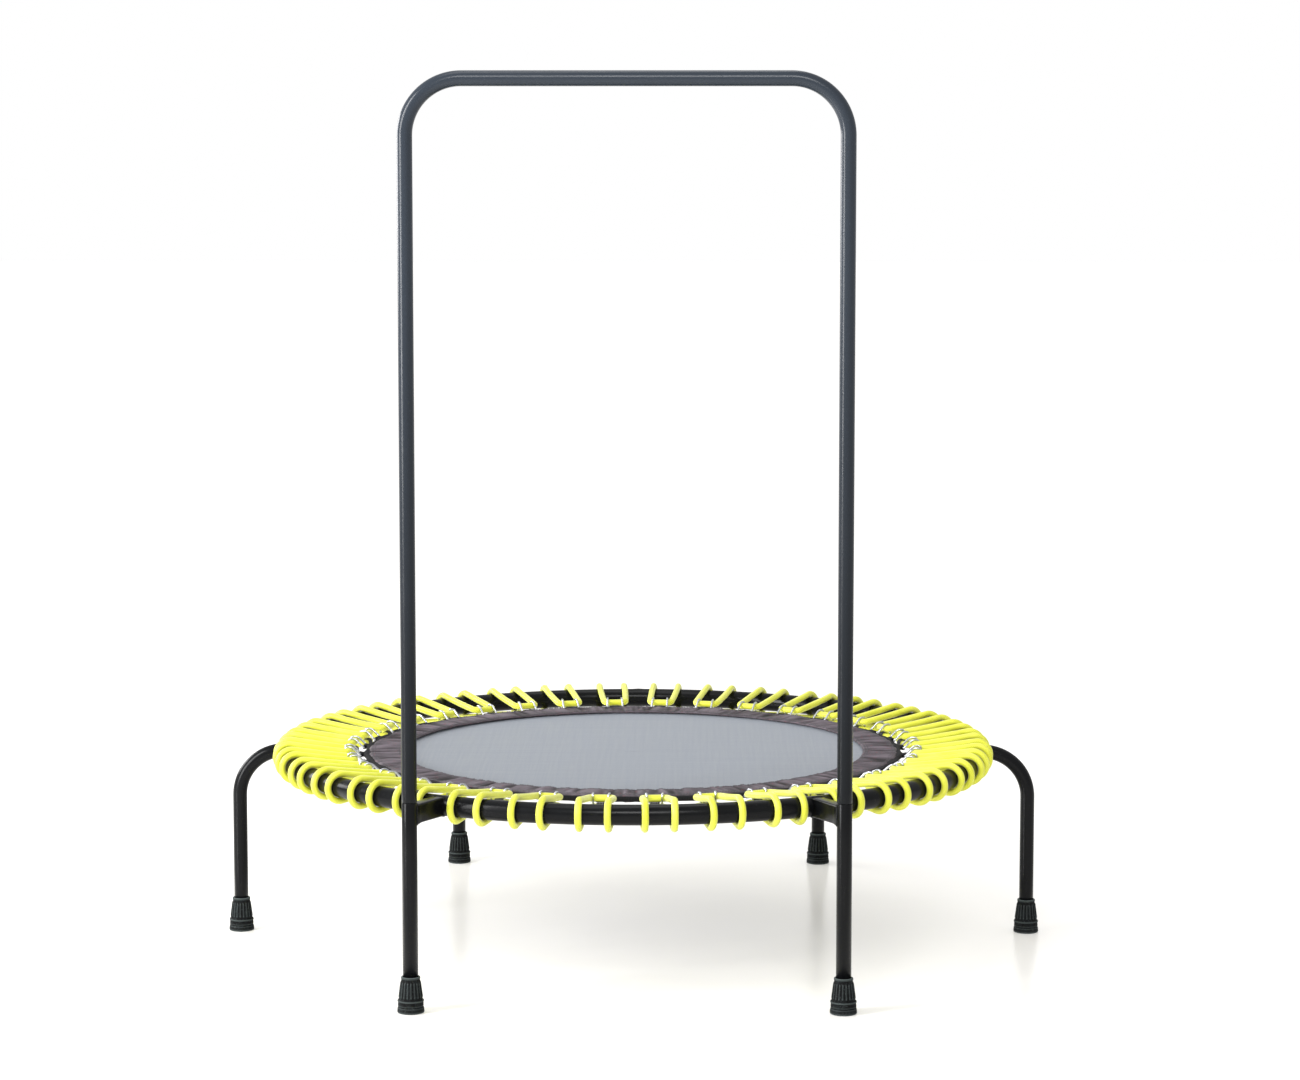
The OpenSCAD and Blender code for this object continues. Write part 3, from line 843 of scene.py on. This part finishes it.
def makeStitches(s):
    # one stitch of each row, arched over the cloth with both ends sunk in it, copied round the hem
    verts, faces = [], []
    for r, shift in s["rows"]:
        points = [Vector((0, s["length"] / 2 * u, s["arch"] * (1 - u * u) - s["sunk"]))
                  for u in (-1, -0.6, 0, 0.6, 1)]
        v, f = sweepLoop(points, circleOutline(s["radius"], s["sides"]), [0.6, 1, 1, 1, 0.6])
        t = (r - hemInner) / (hemOuter - hemInner)
        level = hemHigh.z + hemSettings["fold"] * 0.5 - hemRoll(t, hemSettings)
        turn = Matrix.Rotation(2 * math.pi * shift / s["count"], 4, "Z")
        move = turn @ Matrix.Translation((r, 0, level))
        faces += [tuple(i + len(verts) for i in face) for face in f]
        verts += [move @ p for p in v]
    thread = runTree("hemStitches", makeMesh("stitch", verts, faces), copyTree, count=s["count"],
                     firstAngle=0.0, jitter=s["jitter"], seed=s["seed"], finish=threadFinish)
    # each stitch is set down on the folded cloth where it lies
    for v in thread.data.vertices:
        t = (v.co.xy.length - hemInner) / (hemOuter - hemInner)
        v.co.z += hemSettings["fold"] * hemFold(math.atan2(v.co.y, v.co.x), t)
    finishPiece(thread, "mat", "hem_fabric")


makeMat(matSettings)
makeHem("hemUpper", "mat_hem_top", 1, hemSettings)
makeHem("hemLower", "mat_hem_bottom", -1, hemSettings)
makeBinding(bindingSettings)
makeStitches(stitchSettings)
print("mat and hem ready")

hookSettings = {"base": mm(424), "tip": mm(448.2), "knee": mm(14), "kneeIn": mm(0.8), "topZ": mm(13.2),
                "tipZ": mm(-12.2), "baseHalf": mm(13), "tipHalf": mm(10.8), "splay": mm(0.4), "wire": mm(1.7),
                "sides": 10, "corner": mm(5), "cornerSteps": 5, "jitter": 0.0016, "seed": 11}
strapSettings = {"width": mm(19), "thickness": mm(1.5), "tail": mm(20), "neck": mm(8), "tailZ": mm(1.3),
                 "neckZ": mm(1.35), "wrap": 125, "wrapSteps": 16, "gap": mm(0.1)}


def makeHooks(s):
    # closed wire: base bar in the strap, two arms over the cord, down behind both bights
    side = [(s["base"], s["baseHalf"], 0), (s["base"] + s["knee"], s["baseHalf"] - s["kneeIn"], s["topZ"]),
            (s["tip"], s["tipHalf"] + s["splay"], s["topZ"]), (s["tip"], s["tipHalf"], s["tipZ"])]
    loop = [Vector((x, y, ringHeight + z)) for x, y, z in side]
    loop += [Vector((p.x, -p.y, p.z)) for p in reversed(loop)]
    path = roundCorners(loop, s["corner"], s["cornerSteps"])
    one = runTree("hookUnit", pathObject(path), barTree, radius=s["wire"], sides=s["sides"], finish=zincWire)
    hooks = runTree("wireHooks", one, copyTree, count=loopCount, firstAngle=halfPitch, jitter=s["jitter"],
                    seed=s["seed"], finish=zincWire)
    finishPiece(hooks, "mat", "hook_wire", "mat_hooks")


def makeStraps(s, hook):
    # webbing folded round the hook's base bar, its tails sewn between the hem layers
    base = hook["base"]
    reach = hook["wire"] + s["thickness"] / 2 + s["gap"]
    upper = [Vector((base - s["tail"], 0, s["tailZ"])), Vector((base - s["neck"], 0, s["neckZ"]))]
    lower = [Vector((p.x, 0, -p.z)) for p in reversed(upper)]
    path = upper + arcPoints((base, 0, 0), reach, s["wrap"], -s["wrap"], s["wrapSteps"]) + lower
    w, t = s["width"] / 2, s["thickness"] / 2
    outline = [(t, w - t), (t * 0.5, w), (-t * 0.5, w), (-t, w - t)]
    outline += [(u, -v) for u, v in reversed(outline)]
    verts, faces = sweepLoop([p + Vector((0, 0, ringHeight)) for p in path], outline)
    straps = runTree("webbingStraps", makeMesh("strap", verts, faces), copyTree, count=loopCount,
                     firstAngle=halfPitch, jitter=0.0, seed=1, finish=strapFinish)
    finishPiece(straps, "mat", "webbing", "webbing_loops")


makeHooks(hookSettings)
makeStraps(strapSettings, hookSettings)
print("straps and hooks ready")

cordSettings = {"radius": mm(5), "sides": 14, "side": mm(21), "bightSide": mm(18), "corner": mm(8),
                "bight": mm(441), "rise": mm(6.5), "sag": mm(0.6), "wrap": mm(20.3), "wrapSteps": 22,
                "skew": mm(1.6), "seed": 21}
bays = ["bungees_front", "bungees_front_right", "bungees_back_right", "bungees_back", "bungees_back_left",
        "bungees_front_left"]


def loopPath(s, lean, shift):
    # the closed way of one loop from the middle of its lower bight, X outwards from the ring's axis
    reach = math.sqrt(ringRadius ** 2 - s["side"] ** 2) - s["bight"]
    slant = math.hypot(reach, s["rise"])
    tilt = math.asin(s["wrap"] / slant) - math.atan2(s["rise"], reach)
    length = math.sqrt(slant ** 2 - s["wrap"] ** 2)
    corner, run = s["corner"], s["bightSide"] - s["corner"]

    def halfStrand(sign, above):
        # from the bight's middle round its corner and out along the strand, in the tilted plane
        flat = [(0, run * k / 3) for k in range(1, 4)]
        for k in range(1, 7):
            a = math.radians(90 * k / 6)
            flat.append((corner * (1 - math.cos(a)), run + corner * math.sin(a)))
        for k in range(1, 10):
            widen = (s["side"] - s["bightSide"]) * math.sin(math.pi / 2 * k / 9)
            flat.append((corner + (length - corner) * k / 9, s["bightSide"] + widen))
        turned = []
        for x, y in flat:
            sag = s["sag"] * math.sin(math.pi * min(1, x / length))
            turned.append(Vector((s["bight"] + x * math.cos(tilt), sign * y + lean * x / length + shift,
                                  above * (s["rise"] + x * math.sin(tilt) - sag))))
        return turned

    def wrapRound(sign, start, stop):
        centre = (s["bight"] + reach, sign * s["side"] + shift, 0)
        points = arcPoints(centre, s["wrap"], start, stop, s["wrapSteps"])
        for k, p in enumerate(points):
            p.y += lean * math.cos(math.radians((start + (stop - start) * k / s["wrapSteps"]) * 0.8))
        return points[1:-1]

    edge = 90 + math.degrees(tilt)
    path = [Vector((s["bight"], shift, -s["rise"]))]
    path += halfStrand(1, -1) + wrapRound(1, -edge, edge) + list(reversed(halfStrand(1, 1)))
    path += [Vector((s["bight"], shift, s["rise"]))]
    path += halfStrand(-1, 1) + wrapRound(-1, edge, -edge) + list(reversed(halfStrand(-1, -1)))
    return path


def makeCords(s):
    chance = random.Random(s["seed"])
    for i in range(loopCount):
        azimuth = (i + 0.5) * loopPitch
        lean, shift = chance.uniform(-1, 1) * s["skew"], chance.uniform(-1, 1) * s["skew"] * 0.4
        move = Matrix.Translation((0, 0, ringHeight)) @ toward(azimuth)
        path = [move @ p for p in loopPath(s, lean, shift)]
        cord = runTree("cordLoop_%02d" % (i + 1), pathObject(path), barTree, radius=s["radius"],
                       sides=s["sides"], finish=limeSleeve)
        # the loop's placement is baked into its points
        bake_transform(cord)
        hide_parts(bays[int((azimuth + 30) // 60) % 6])


crimpSettings = {"bore": mm(5.1), "outside": mm(6.1), "half": mm(7), "ribbed": mm(6.6), "ridge": mm(0.25),
                 "ridges": 4, "steps": 28, "sides": 24}


def makeCrimps(s, cord):
    # ribbed sleeve over the joint of each cord, on its lower bight
    ribs = []
    for k in range(s["steps"] + 1):
        wave = math.sin(2 * math.pi * s["ridges"] * k / s["steps"])
        ribs.append((s["outside"] + s["ridge"] * wave, s["ribbed"] * (2 * k / s["steps"] - 1)))
    profile = [(s["bore"], -s["half"]), (s["outside"], -s["half"]), *ribs, (s["outside"], s["half"]),
               (s["bore"], s["half"])]
    verts, faces = lathe(profile, s["sides"], closed=True)
    place = Matrix.Translation((cord["bight"], 0, ringHeight - cord["rise"]))
    move = place @ Matrix.Rotation(math.pi / 2, 4, "X")
    unit = makeMesh("crimp", [move @ v for v in verts], faces)
    crimps = runTree("cordSleeves", unit, copyTree, count=loopCount, firstAngle=halfPitch, jitter=0.0, seed=1,
                     finish=sleevePlastic)
    finishPiece(crimps, "mat", "crimp_metal", "bungee_crimps")


makeCords(cordSettings)
makeCrimps(crimpSettings, cordSettings)
print("cords ready")

# small hardware is shown as it is in the frame
hardware = {"leg_inserts": zincPart, "bracket_inserts": zincPart, "foot_discs": zincPart,
            "saddle_washers": zincPart, "frame_bolts": boltFinish}
for node, finish in hardware.items():
    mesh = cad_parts[node].data
    mesh.materials.clear()
    mesh.materials.append(finish)
print("hardware ready")
